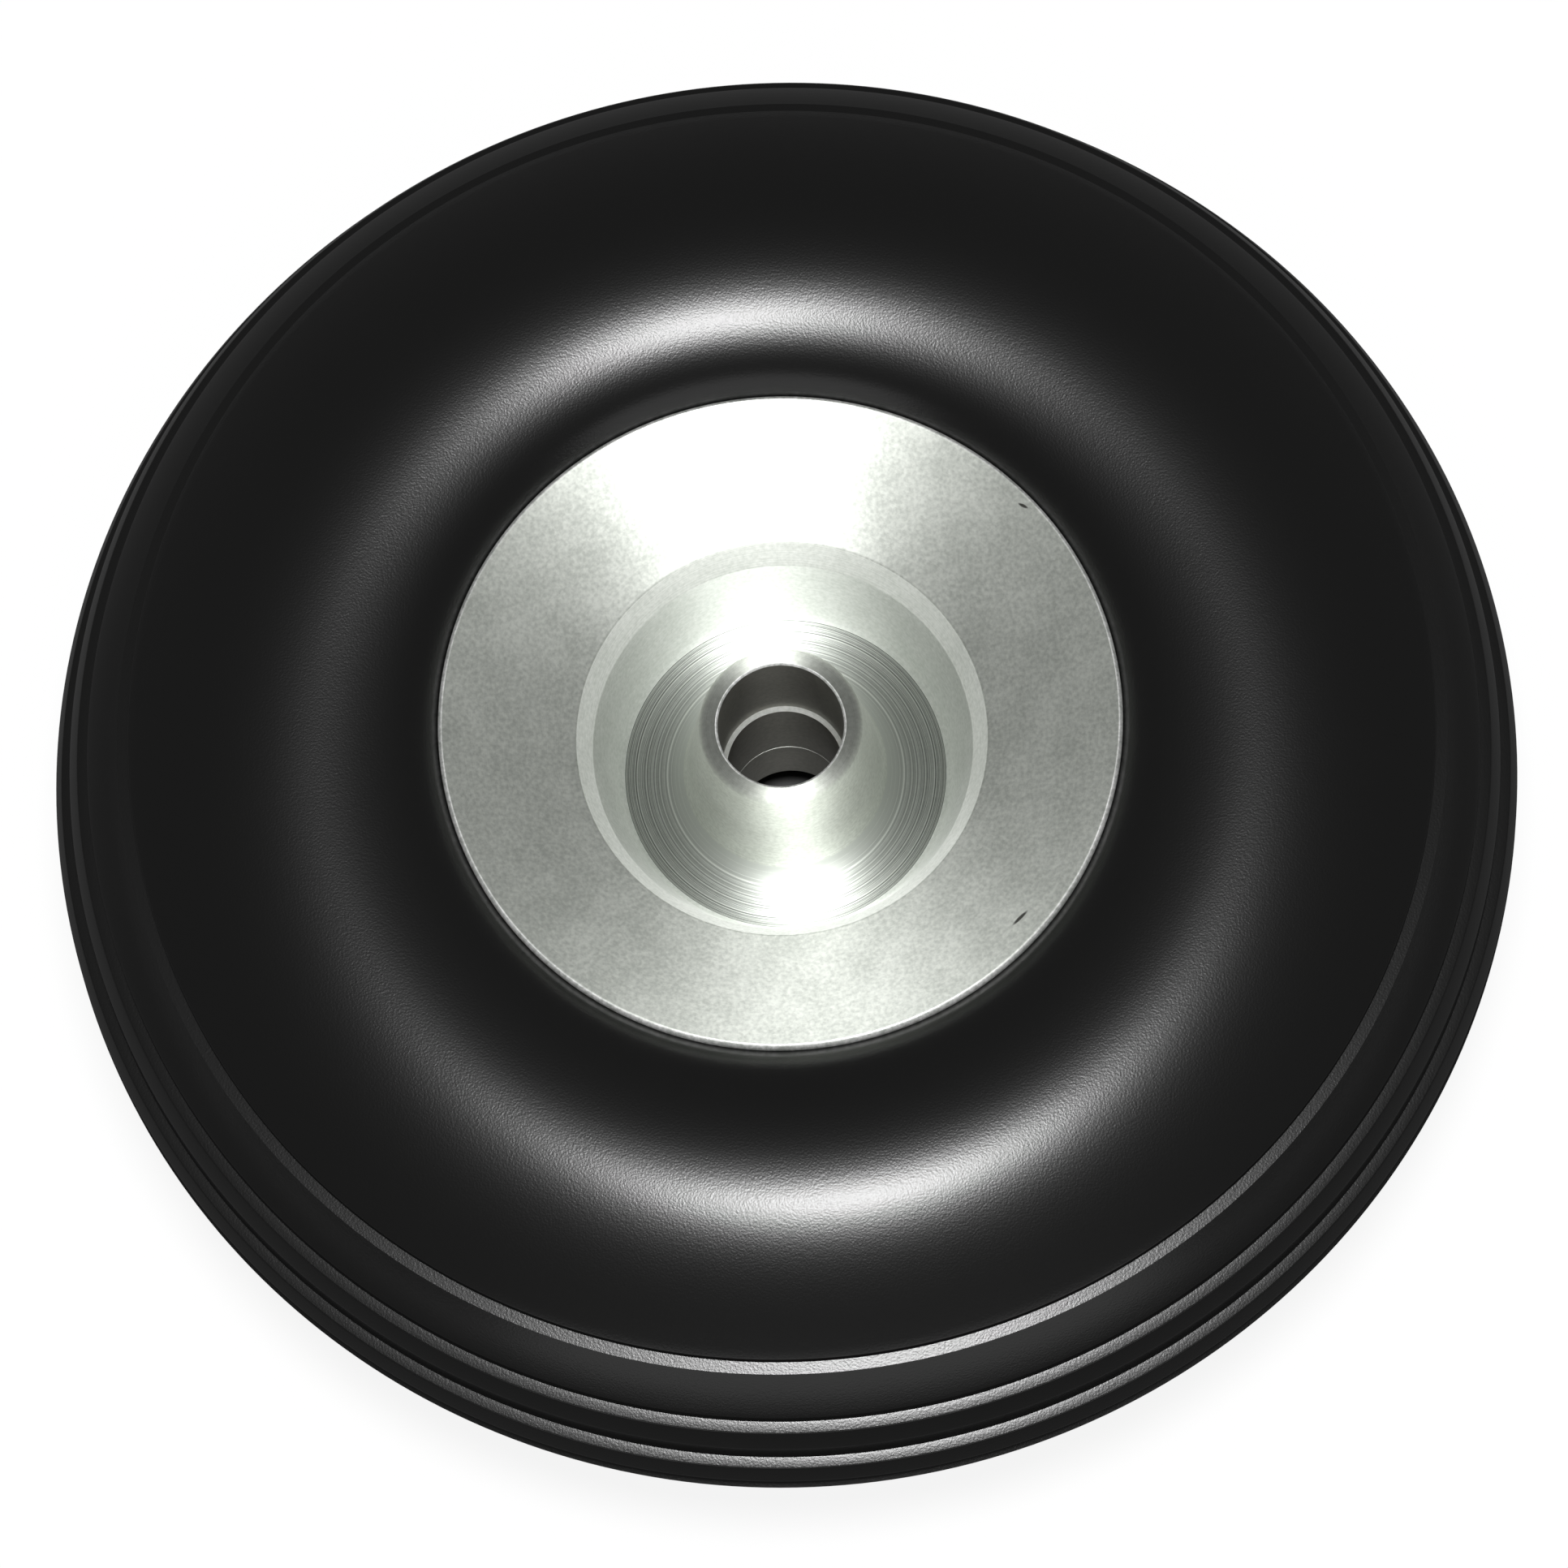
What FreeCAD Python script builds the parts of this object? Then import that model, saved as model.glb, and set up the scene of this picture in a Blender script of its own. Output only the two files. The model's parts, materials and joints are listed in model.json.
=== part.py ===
import FreeCAD, Part
import math
import os

import Sketcher

# A model aircraft wheel with a split, turned aluminium hub. It lies flat, with its axle along Z and
# the hub's outer face up. The origin is the wheel's centre, where the axle meets the tyre's middle
# plane. All sizes are in millimetres.

os.makedirs("parts", exist_ok=True)
doc = FreeCAD.newDocument("aircraft_wheel")

# ---------------------------------------------------------------------------------------------
# Driving dimensions. A radius is measured from the axle, a height from the tyre's middle plane.
# ---------------------------------------------------------------------------------------------
SIZES = [
    ("tyre_radius", 38.0, "tyre, at the lips beside its centre groove"),
    ("tyre_width", 24.0, "tyre, across both sidewall crowns"),
    ("crown_reach", 5.7, "sidewall crown, outwards from the hub's rim"),
    ("terrace1_inset", 4.34, "first terrace: its upright riser, inwards from the tyre's lips"),
    ("terrace1_top", 8.6, "first terrace: height of the riser's top edge"),
    ("terrace1_drop", 0.5, "first terrace: fall of the riser to its ledge"),
    ("terrace1_ledge", 0.6, "first terrace: radial width of the ledge"),
    ("terrace2_inset", 2.03, "second terrace"),
    ("terrace2_top", 5.75, "second terrace"),
    ("terrace2_drop", 0.75, "second terrace"),
    ("terrace2_ledge", 0.58, "second terrace"),
    ("terrace3_inset", 0.95, "third terrace"),
    ("terrace3_top", 3.55, "third terrace"),
    ("terrace3_drop", 1.58, "third terrace"),
    ("terrace3_ledge", 0.55, "third terrace"),
    ("ledge_tilt", 12.5, "degrees by which each ledge falls outwards"),
    ("band_bulge", 15.0, "arc radius of the bands between the terraces"),
    ("groove_width", 1.2, "centre groove at the tyre's surface"),
    ("groove_depth", 0.5, "centre groove"),
    ("groove_draft", 0.15, "by how much each groove wall leans in"),
    ("flange_radius", 17.6, "hub flanges, at their rims"),
    ("flange_wall", 1.7, "hub flanges, measured along the axle"),
    ("rim_sink", 2.2, "hub rims, below the sidewall crowns"),
    ("rim_stand", 0.35, "how far the rims stand proud of the rubber"),
    ("rim_chamfer", 0.2, "broken edge of the rims"),
    ("dish_depth", 3.13, "fall of the dished faces from the rim"),
    ("step_width", 0.75, "steep step inside the outer dish, across the radius"),
    ("step_depth", 1.4, "fall of that step"),
    ("cup_mouth_wall", 2.65, "barrel's wall round the outer cup's mouth"),
    ("cup_taper", 1.35, "outer cup: how much narrower its floor is than its mouth"),
    ("cup_skin", 0.7, "metal between the outer cup's floor and the tapped holes"),
    ("cup_round", 0.8, "fillet between the outer cup's floor and wall"),
    ("boss_wall", 0.95, "wall of both bosses at their faces"),
    ("boss_sink", 1.0, "boss faces, below the hub's rims"),
    ("boss_taper", 1.1, "outer boss: how much wider its root is than its face"),
    ("boss_root_round", 1.6, "fillet at the outer boss's root"),
    ("boss_edge_round", 0.35, "rounded edge of both boss faces"),
    ("axle_radius", 3.0, "running bore"),
    ("relief_clearance", 0.25, "wider bore in the outer boss, beyond the running bore"),
    ("relief_depth", 6.95, "wider bore, down to its 45 degree shoulder"),
    ("mouth_chamfer", 0.1, "broken edge of each bore mouth"),
    ("parting_drop", 3.4, "hub's parting face, below the middle plane"),
    ("spigot_length", 1.0, "spigot of the outer half"),
    ("spigot_wall", 0.52, "metal between the spigot's seat and the screw holes"),
    ("spigot_clearance", 0.03, "radial gap round the spigot"),
    ("spigot_end_gap", 0.1, "gap under the spigot's end"),
    ("back_web", 2.4, "web of the inner half"),
    ("back_boss_taper", 0.5, "inner boss: how much wider its root is than its face"),
    ("back_wall", 2.2, "barrel's wall round the inner recess"),
    ("screw_count", 4, "screws that clamp the halves together"),
    ("screw_radius", 1.25, "M2.5 shank"),
    ("screw_length", 5.0, "under the head"),
    ("screw_head_radius", 2.25, "cap head"),
    ("screw_head_height", 2.5, "cap head"),
    ("screw_head_chamfer", 0.25, "broken edge of the cap head"),
    ("head_inner_gap", 0.5, "between a screw's head and the inner boss's root"),
    ("head_outer_gap", 0.6, "between a screw's head and the recess's wall"),
    ("socket_flats", 2.0, "hexagon socket, across its flats"),
    ("socket_depth", 1.25, "hexagon socket"),
    ("thread_clearance", 0.02, "radial gap round the thread in its tapped hole"),
    ("screw_clearance", 0.15, "radial gap round the shank in the inner half"),
    ("tap_run_out", 0.4, "tapped hole beyond the screw's end"),
]

sheet = doc.addObject("Spreadsheet::Sheet", "Sizes")
for row, (alias, value, meaning) in enumerate(SIZES, start=1):
    sheet.set(f"A{row}", alias)
    sheet.set(f"B{row}", str(value))
    sheet.setAlias(f"B{row}", alias)
    sheet.set(f"C{row}", meaning)
doc.recompute()

# Radii that the pieces share, from the axle outwards.
BOSS = "(Sizes.axle_radius + Sizes.relief_clearance + Sizes.boss_wall)"
BOSS_ROOT = f"({BOSS} + Sizes.boss_taper)"
BACK_BOSS_ROOT = f"({BOSS} + Sizes.back_boss_taper)"
SCREW_CIRCLE = f"({BACK_BOSS_ROOT} + Sizes.head_inner_gap + Sizes.screw_head_radius)"
RECESS = f"({SCREW_CIRCLE} + Sizes.screw_head_radius + Sizes.head_outer_gap)"
SHANK_HOLE = "(Sizes.screw_radius + Sizes.screw_clearance)"
TAPPED_HOLE = "(Sizes.screw_radius + Sizes.thread_clearance)"
SPIGOT_SEAT = f"({SCREW_CIRCLE} - {SHANK_HOLE} - Sizes.spigot_wall)"
SPIGOT = f"({SPIGOT_SEAT} - Sizes.spigot_clearance)"
BARREL = f"({RECESS} + Sizes.back_wall)"
CUP_MOUTH = f"({BARREL} - Sizes.cup_mouth_wall)"
CUP = f"({CUP_MOUTH} - Sizes.cup_taper)"
DISH = f"({CUP_MOUTH} + Sizes.step_width)"
CROWN = "(Sizes.flange_radius + Sizes.crown_reach)"

# Heights that the pieces share, measured from the middle plane.
HALF_WIDTH = "(Sizes.tyre_width / 2)"
RIM = f"({HALF_WIDTH} - Sizes.rim_sink)"
RUBBER_EDGE = f"({RIM} - Sizes.rim_stand)"
RIM_BACK = f"({RIM} - Sizes.flange_wall)"
DISH_SLOPE = f"(Sizes.dish_depth / (Sizes.flange_radius - {DISH}))"
FLANGE_ROOT = f"({RIM_BACK} - (Sizes.flange_radius - {BARREL}) * {DISH_SLOPE})"
BOSS_FACE = f"({RIM} - Sizes.boss_sink)"
TAP_DEPTH = "(Sizes.screw_length - Sizes.back_web + Sizes.tap_run_out)"


# ---------------------------------------------------------------------------------------------
# Helpers
# ---------------------------------------------------------------------------------------------
def size(expression):
    """The present value of an expression in the sheet's names."""
    return float(sheet.evalExpression(expression.replace("Sizes.", "")))


def origin_feature(body, role):
    """One of the body's own origin planes or axes."""
    for feature in body.Origin.OriginFeatures:
        if feature.Role == role:
            return feature
    raise ValueError(role)


def new_sketch(body, name, role):
    sketch = body.newObject("Sketcher::SketchObject", name)
    sketch.AttachmentSupport = [(origin_feature(body, role), "")]
    sketch.MapMode = "FlatFace"
    return sketch


def bind(sketch, constraint, expression):
    number = sketch.addConstraint(constraint)
    sketch.setExpression(f"Constraints[{number}]", expression)


def bulged_arc(start, end, radius):
    """The short arc from start to end whose bulge is on the left of the way from start to end."""
    across = end - start
    half = across.Length / 2
    rise = radius - math.sqrt(radius * radius - half * half)
    left = FreeCAD.Vector(-across.y, across.x, 0).normalize()
    return Part.Arc(start, (start + end) / 2 + left * rise, end)


def end_at(sketch, index, point):
    """Which end of an edge, 1 or 2, lies at point. An arc may keep its ends the other way round."""
    if sketch.getPoint(index, 1).distanceToPoint(point) < 1e-6:
        return 1
    return 2


def hold_coordinate(sketch, index, end, kind, value, expression):
    """Binds one distance of an edge's end. A zero is held by the sketch's own axis instead."""
    if expression != "0":
        bind(sketch, Sketcher.Constraint(kind, -1, 1, index, end, value), expression)
    elif kind == "DistanceX":
        sketch.addConstraint(Sketcher.Constraint("PointOnObject", index, end, -2))
    else:
        sketch.addConstraint(Sketcher.Constraint("PointOnObject", index, end, -1))


def turned_profile(sketch, corners):
    """Closes a profile through corners, each (radius, height, arc radius of the edge that follows).

    The entries are expressions, and an edge with no arc radius is straight.
    """
    points = [FreeCAD.Vector(size(radius), size(height), 0) for radius, height, arc in corners]
    for index, (radius, height, arc) in enumerate(corners):
        start, end = points[index], points[(index + 1) % len(points)]
        if arc is None:
            sketch.addGeometry(Part.LineSegment(start, end), False)
        else:
            sketch.addGeometry(bulged_arc(start, end, size(arc)), False)
    for index, (radius, height, arc) in enumerate(corners):
        point = points[index]
        previous = (index - 1) % len(corners)
        start = end_at(sketch, index, point)
        meets = end_at(sketch, previous, point)
        sketch.addConstraint(Sketcher.Constraint("Coincident", previous, meets, index, start))
        hold_coordinate(sketch, index, start, "DistanceX", point.x, radius)
        hold_coordinate(sketch, index, start, "DistanceY", point.y, height)
        if arc is not None:
            bind(sketch, Sketcher.Constraint("Radius", index, size(arc)), arc)


def turned_body(label, corners):
    """A body turned about Z from its profile in the XZ plane."""
    body = doc.addObject("PartDesign::Body", label)
    body.Label = label
    sketch = new_sketch(body, f"{label}_profile", "XZ_Plane")
    turned_profile(sketch, corners)
    doc.recompute()
    turning = body.newObject("PartDesign::Revolution", f"{label}_turning")
    turning.Profile = sketch
    turning.ReferenceAxis = (sketch, ["V_Axis"])
    turning.Angle = 360.0
    doc.recompute()
    return body


def turn_over(body):
    """Turns a body upside down about X."""
    body.Placement = FreeCAD.Placement(
        FreeCAD.Vector(0, 0, 0), FreeCAD.Rotation(FreeCAD.Vector(1, 0, 0), 180)
    )


def ring_edges(shape, radius, height):
    """Names of the circular edges of this radius about Z at this height."""
    names = []
    for number, edge in enumerate(shape.Edges, start=1):
        curve = edge.Curve
        if not isinstance(curve, Part.Circle):
            continue
        if abs(curve.Radius - radius) < 1e-4 and abs(curve.Center.z - height) < 1e-4:
            names.append(f"Edge{number}")
    return names


def round_ring(body, radius, height, fillet):
    """Fillets the ring edge at this radius and height. All three are expressions."""
    base = body.Tip
    names = ring_edges(base.Shape, size(radius), size(height))
    rounding = body.newObject("PartDesign::Fillet", f"{body.Name}_round")
    rounding.Base = (base, names)
    rounding.setExpression("Radius", fillet)
    doc.recompute()


def drill_ring(body, radius, start, depth, upwards):
    """A hole from the height start, repeated on the circle of screws."""
    circle = size(SCREW_CIRCLE)
    sketch = new_sketch(body, f"{body.Name}_drill", "XY_Plane")
    sketch.setExpression("AttachmentOffset.Base.z", start)
    sketch.addGeometry(
        Part.Circle(FreeCAD.Vector(circle, 0, 0), FreeCAD.Vector(0, 0, 1), size(radius)), False
    )
    sketch.addConstraint(Sketcher.Constraint("PointOnObject", 0, 3, -1))
    bind(sketch, Sketcher.Constraint("DistanceX", -1, 1, 0, 3, circle), SCREW_CIRCLE)
    bind(sketch, Sketcher.Constraint("Radius", 0, size(radius)), radius)
    pocket = body.newObject("PartDesign::Pocket", f"{body.Name}_hole")
    pocket.Profile = sketch
    pocket.Reversed = upwards
    pocket.setExpression("Length", depth)
    doc.recompute()
    pattern = body.newObject("PartDesign::PolarPattern", f"{body.Name}_holes")
    pattern.Originals = [pocket]
    pattern.Axis = (origin_feature(body, "Z_Axis"), [""])
    pattern.Angle = 360.0
    pattern.setExpression("Occurrences", "Sizes.screw_count")
    body.Tip = pattern
    doc.recompute()


# ---------------------------------------------------------------------------------------------
# Tyre: one solid moulding. Each side is cut in three terraces, each an upright riser with a narrow
# ledge at its foot, and a groove runs round the middle. Half of it is turned and mirrored.
# ---------------------------------------------------------------------------------------------
def level_arc(reach, drop):
    """Radius of the arc that leaves the crown level and falls by drop over reach."""
    return f"(({reach})^2 + ({drop})^2) / (2 * ({drop}))"


def terrace(number):
    """Corners of one terrace: the riser's top, its foot and the outer edge of the ledge."""
    riser = f"Sizes.tyre_radius - Sizes.terrace{number}_inset"
    foot = f"Sizes.terrace{number}_top - Sizes.terrace{number}_drop"
    ledge = f"Sizes.terrace{number}_ledge"
    return [
        (riser, f"Sizes.terrace{number}_top", None),
        (riser, foot, None),
        (f"{riser} + {ledge}", f"{foot} - {ledge} * tan(Sizes.ledge_tilt * 1deg)",
         "Sizes.band_bulge"),
    ]


def make_tyre():
    shoulder_reach = f"Sizes.tyre_radius - Sizes.terrace1_inset - {CROWN}"
    groove_floor = "Sizes.tyre_radius - Sizes.groove_depth"
    body = turned_body("tyre", [
        (BARREL, "0", None),
        (BARREL, FLANGE_ROOT, None),
        ("Sizes.flange_radius", RIM_BACK, None),
        ("Sizes.flange_radius", RUBBER_EDGE,
         level_arc("Sizes.crown_reach", f"{HALF_WIDTH} - {RUBBER_EDGE}")),
        (CROWN, HALF_WIDTH, level_arc(shoulder_reach, f"{HALF_WIDTH} - Sizes.terrace1_top")),
        *terrace(1),
        *terrace(2),
        *terrace(3),
        ("Sizes.tyre_radius", "Sizes.groove_width / 2", None),
        (groove_floor, "Sizes.groove_width / 2 - Sizes.groove_draft", None),
        (groove_floor, "0", None),
    ])
    mirror = body.newObject("PartDesign::Mirrored", "tyre_other_side")
    mirror.Originals = [body.Tip]
    mirror.MirrorPlane = (origin_feature(body, "XY_Plane"), [""])
    mirror.Refine = True
    body.Tip = mirror
    doc.recompute()
    return body


# ---------------------------------------------------------------------------------------------
# Outer hub half: dished flange, deep cup with a boss, web, barrel and spigot, turned in one. Its
# own heights start at the spigot's end, and its placement drops it to its place in the wheel.
# ---------------------------------------------------------------------------------------------
def make_outer_hub_half():
    base = "(Sizes.parting_drop + Sizes.spigot_length)"
    rim = f"({base} + {RIM})"
    face = f"({base} + {BOSS_FACE})"
    floor = f"(Sizes.spigot_length + {TAP_DEPTH} + Sizes.cup_skin)"
    dish_edge = f"({rim} - Sizes.dish_depth)"
    shoulder = f"({face} - Sizes.relief_depth)"
    relief = "(Sizes.axle_radius + Sizes.relief_clearance)"
    body = turned_body("outer_hub_half", [
        ("Sizes.axle_radius", "0", None),
        (SPIGOT, "0", None),
        (SPIGOT, "Sizes.spigot_length", None),
        (BARREL, "Sizes.spigot_length", None),
        (BARREL, f"{base} + {FLANGE_ROOT}", None),
        ("Sizes.flange_radius", f"{base} + {RIM_BACK}", None),
        ("Sizes.flange_radius", f"{rim} - Sizes.rim_chamfer", None),
        ("Sizes.flange_radius - Sizes.rim_chamfer", rim, None),
        (DISH, dish_edge, None),
        (CUP_MOUTH, f"{dish_edge} - Sizes.step_depth", None),
        (CUP, floor, None),
        (BOSS_ROOT, floor, None),
        (BOSS, face, None),
        (f"{relief} + Sizes.mouth_chamfer", face, None),
        (relief, f"{face} - Sizes.mouth_chamfer", None),
        (relief, shoulder, None),
        ("Sizes.axle_radius", f"{shoulder} - Sizes.relief_clearance", None),
    ])
    body.setExpression("Placement.Base.z", f"-{base}")
    doc.recompute()
    # The two fillets on the floor share its width, a third to the wall's and the rest to the boss's.
    round_ring(body, CUP, floor, f"min(Sizes.cup_round; ({CUP} - {BOSS_ROOT}) / 3)")
    round_ring(body, BOSS_ROOT, floor, f"min(Sizes.boss_root_round; ({CUP} - {BOSS_ROOT}) / 1.8)")
    round_ring(body, BOSS, face, "min(Sizes.boss_edge_round; Sizes.boss_wall / 2)")
    drill_ring(body, TAPPED_HOLE, "Sizes.spigot_length", TAP_DEPTH, True)
    return body


# ---------------------------------------------------------------------------------------------
# Inner hub half: the flange, web and boss on the side that faces the aircraft's leg. It is turned
# with its own outside up, and its placement turns it over.
# ---------------------------------------------------------------------------------------------
def make_inner_hub_half():
    recess_floor = "(Sizes.parting_drop + Sizes.back_web)"
    bed = "(Sizes.parting_drop + Sizes.spigot_length + Sizes.spigot_end_gap)"
    body = turned_body("inner_hub_half", [
        ("Sizes.axle_radius", bed, None),
        (SPIGOT_SEAT, bed, None),
        (SPIGOT_SEAT, "Sizes.parting_drop", None),
        (BARREL, "Sizes.parting_drop", None),
        (BARREL, FLANGE_ROOT, None),
        ("Sizes.flange_radius", RIM_BACK, None),
        ("Sizes.flange_radius", f"{RIM} - Sizes.rim_chamfer", None),
        ("Sizes.flange_radius - Sizes.rim_chamfer", RIM, None),
        (DISH, f"{RIM} - Sizes.dish_depth", None),
        (RECESS, recess_floor, None),
        (BACK_BOSS_ROOT, recess_floor, None),
        (BOSS, BOSS_FACE, None),
        ("Sizes.axle_radius + Sizes.mouth_chamfer", BOSS_FACE, None),
        ("Sizes.axle_radius", f"{BOSS_FACE} - Sizes.mouth_chamfer", None),
    ])
    turn_over(body)
    round_ring(body, BOSS, BOSS_FACE, "min(Sizes.boss_edge_round; Sizes.boss_wall / 2)")
    drill_ring(body, SHANK_HOLE, recess_floor, "Sizes.back_web", False)
    return body


# ---------------------------------------------------------------------------------------------
# Hub screws: cap heads on the inner half's web, shanks up into the outer half's tapped holes.
# Each is turned with its head up, sunk with a hexagon socket, and turned over into its hole.
# ---------------------------------------------------------------------------------------------
def cut_socket(body, top):
    """A hexagon socket cut down from the head's top."""
    corner = size("Sizes.socket_flats") / math.sqrt(3)
    points = [
        FreeCAD.Vector(corner * math.cos(angle), corner * math.sin(angle), 0)
        for angle in (math.radians(60 * side) for side in range(6))
    ]
    sketch = new_sketch(body, f"{body.Name}_socket_outline", "XY_Plane")
    sketch.setExpression("AttachmentOffset.Base.z", top)
    for side in range(6):
        sketch.addGeometry(Part.LineSegment(points[side], points[(side + 1) % 6]), False)
    through_corners = sketch.addGeometry(
        Part.Circle(FreeCAD.Vector(0, 0, 0), FreeCAD.Vector(0, 0, 1), corner), True
    )
    sketch.addConstraint(Sketcher.Constraint("Coincident", through_corners, 3, -1, 1))
    bind(sketch, Sketcher.Constraint("Radius", through_corners, corner),
         "Sizes.socket_flats / sqrt(3)")
    for side in range(6):
        sketch.addConstraint(Sketcher.Constraint("Coincident", side, 2, (side + 1) % 6, 1))
        sketch.addConstraint(Sketcher.Constraint("PointOnObject", side, 1, through_corners))
    for side in range(5):
        sketch.addConstraint(Sketcher.Constraint("Equal", side, side + 1))
    sketch.addConstraint(Sketcher.Constraint("PointOnObject", 0, 1, -1))
    doc.recompute()
    pocket = body.newObject("PartDesign::Pocket", f"{body.Name}_socket")
    pocket.Profile = sketch
    pocket.setExpression("Length", "Sizes.socket_depth")
    doc.recompute()


def make_hub_screw(number):
    top = "(Sizes.screw_length + Sizes.screw_head_height)"
    body = turned_body(f"hub_screw_{number}", [
        ("0", "0", None),
        ("Sizes.screw_radius", "0", None),
        ("Sizes.screw_radius", "Sizes.screw_length", None),
        ("Sizes.screw_head_radius", "Sizes.screw_length", None),
        ("Sizes.screw_head_radius", f"{top} - Sizes.screw_head_chamfer", None),
        ("Sizes.screw_head_radius - Sizes.screw_head_chamfer", top, None),
        ("0", top, None),
    ])
    cut_socket(body, top)
    turn_over(body)
    angle = f"({number - 1} * 360deg / Sizes.screw_count)"
    body.setExpression("Placement.Base.x", f"{SCREW_CIRCLE} * cos({angle})")
    body.setExpression("Placement.Base.y", f"{SCREW_CIRCLE} * sin({angle})")
    body.setExpression("Placement.Base.z",
                       "Sizes.screw_length - Sizes.parting_drop - Sizes.back_web")
    doc.recompute()
    return body


# ---------------------------------------------------------------------------------------------
# Build, check and write
# ---------------------------------------------------------------------------------------------
bodies = [make_tyre(), make_outer_hub_half(), make_inner_hub_half()]
for number in range(1, int(size("Sizes.screw_count")) + 1):
    bodies.append(make_hub_screw(number))
doc.recompute()

for item in doc.Objects:
    if "Invalid" in item.State or "Error" in item.State:
        raise RuntimeError(f"{item.Label}: {item.State}")
for body in bodies:
    if body.Shape.isNull() or not body.Shape.isValid() or len(body.Shape.Solids) != 1:
        raise RuntimeError(f"{body.Label} is not one valid solid")
for body in bodies:
    body.Shape.exportStep(f"parts/{body.Label}.step")
    print(body.Label, round(body.Shape.Volume, 2))
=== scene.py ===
# %% [markdown]
# # A model aircraft wheel
#
# A solid rubber tyre sits on a turned aluminium hub. The hub is split in two halves, so that the tyre
# can be fitted under its flanges, and four cap screws hold the halves together from the inner side.
# The wheel lies flat with its dished outer face up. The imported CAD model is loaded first, as a fixed
# frame that gives every piece its place.

# %% Load the frame
import json
import math

import bpy
from mathutils import Matrix, Vector


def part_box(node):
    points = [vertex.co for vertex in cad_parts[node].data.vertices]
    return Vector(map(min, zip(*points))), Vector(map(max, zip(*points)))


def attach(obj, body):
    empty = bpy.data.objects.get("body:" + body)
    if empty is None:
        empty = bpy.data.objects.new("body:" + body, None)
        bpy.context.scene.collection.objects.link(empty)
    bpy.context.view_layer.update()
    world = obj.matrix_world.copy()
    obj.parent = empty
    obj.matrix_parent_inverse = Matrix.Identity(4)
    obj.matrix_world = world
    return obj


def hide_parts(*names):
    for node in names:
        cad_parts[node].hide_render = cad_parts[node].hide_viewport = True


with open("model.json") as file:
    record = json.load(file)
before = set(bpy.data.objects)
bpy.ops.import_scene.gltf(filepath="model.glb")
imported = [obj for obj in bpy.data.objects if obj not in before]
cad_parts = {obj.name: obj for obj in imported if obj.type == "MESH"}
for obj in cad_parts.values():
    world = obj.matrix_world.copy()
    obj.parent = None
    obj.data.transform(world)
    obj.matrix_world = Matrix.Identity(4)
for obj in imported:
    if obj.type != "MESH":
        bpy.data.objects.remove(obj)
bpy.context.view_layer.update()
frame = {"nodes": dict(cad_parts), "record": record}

MM = 0.001
print("pieces in the frame:", sorted(frame["nodes"]))

# %% [markdown]
# ## Sizes
#
# The hub was turned to a drawing and the tyre moulded to fit it, so their main sizes come from the
# frame: from the boxes of its pieces and the radii of its mounts. Typing them in again would work too,
# until one of them changes. The frame is in metres and the sections below are easier to read in
# millimetres, so the sizes are turned into millimetres once, here. Neither box shows where the two
# meet, so those sizes follow: how far the flange's edge, the rubber's lip and the dish reach down from
# the rim, the barrel's radius, and the height at which the flange's back leaves the barrel. The dish's
# edge is a place on the section, which is written as a radius and a height.

# %% Sizes from the frame, in millimetres
tyre_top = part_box("tyre")[1] / MM
outer_low, outer_top = (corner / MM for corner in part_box("outer_hub_half"))
inner_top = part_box("inner_hub_half")[1] / MM
mounts = {mount["name"]: mount for mount in frame["record"]["mounts"]}

TYRE_RADIUS = tyre_top.x
HALF_WIDTH = tyre_top.z
RIM_RADIUS = outer_top.x
RIM_HEIGHT = outer_top.z
SPIGOT_END = outer_low.z
PARTING = inner_top.z
BORE = mounts["axle_bore"]["dims"]["r_mm"]
RELIEF = mounts["relief_bore"]["dims"]["r_mm"]
BOSS_FACE = mounts["outer_boss_face"]["pos_m"][2] / MM
print(f"tyre radius {TYRE_RADIUS:.1f}, half width {HALF_WIDTH:.1f}, rim {RIM_RADIUS:.1f}, bore {BORE:.2f} mm")

# %% Sizes where the tyre and the hub meet, in millimetres
FLANGE_EDGE = 1.7
RUBBER_LIP = 0.35
DISH_DEPTH = 3.13
BARREL = 12.5
BEAD_TOP = 5.82
RIM_BACK = RIM_HEIGHT - FLANGE_EDGE
RUBBER_EDGE = RIM_HEIGHT - RUBBER_LIP
DISH_EDGE = (10.6, RIM_HEIGHT - DISH_DEPTH)
print(f"heights: rim {RIM_HEIGHT:.2f}, rubber's edge {RUBBER_EDGE:.2f}, dish's edge {DISH_EDGE[1]:.2f} mm")

# %% [markdown]
# ## Camera
#
# A long lens from far away shows a wheel almost without perspective, as a catalogue picture does. The
# camera stands on the -Y side, well above the wheel, and is rolled a little. A Track To constraint
# would aim it, but without a roll, so its three axes are worked out and written as a matrix.

# %% Camera
CAMERA_ELEVATION = math.radians(72.41)
CAMERA_ROLL = math.radians(-6.08)
CAMERA_DISTANCE = 704 * MM
FOCAL_LENGTH = 314.9
SENSOR_WIDTH = 36
NEAREST_SEEN = 0.01
AIM_OFFSET = (0.206 * MM, -3.316 * MM)


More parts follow.
